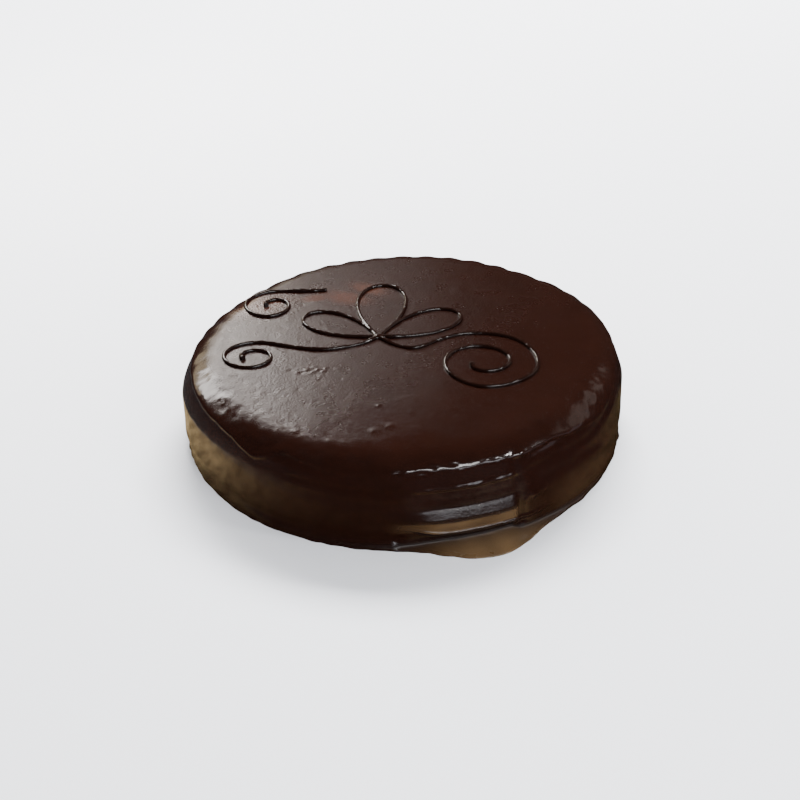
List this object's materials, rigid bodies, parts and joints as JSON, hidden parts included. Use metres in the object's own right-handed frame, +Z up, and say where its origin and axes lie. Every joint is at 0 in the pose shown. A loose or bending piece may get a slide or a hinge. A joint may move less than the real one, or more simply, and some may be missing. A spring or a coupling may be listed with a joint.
{
  "type": "sachertorte cake",
  "caption": "Whole round chocolate torte, low and wide, under a poured dark glaze with a rounded top edge, uneven side and a piped scroll flourish on top.",
  "frame": {"origin": "centre of the flat underside, on the surface the cake stands on", "axes": "+Z up; -Y is the front, with the run ledges of the glaze at the front right (+X, -Y)"},
  "size_m": [0.2471, 0.2504, 0.0564],
  "materials": {
    "chocolate_glaze": null,
    "piped_chocolate": null
  },
  "bodies": {
    "root": {"cake": "chocolate_glaze", "flourish": "piped_chocolate", "curl": "piped_chocolate"}
  },
  "joints": []
}
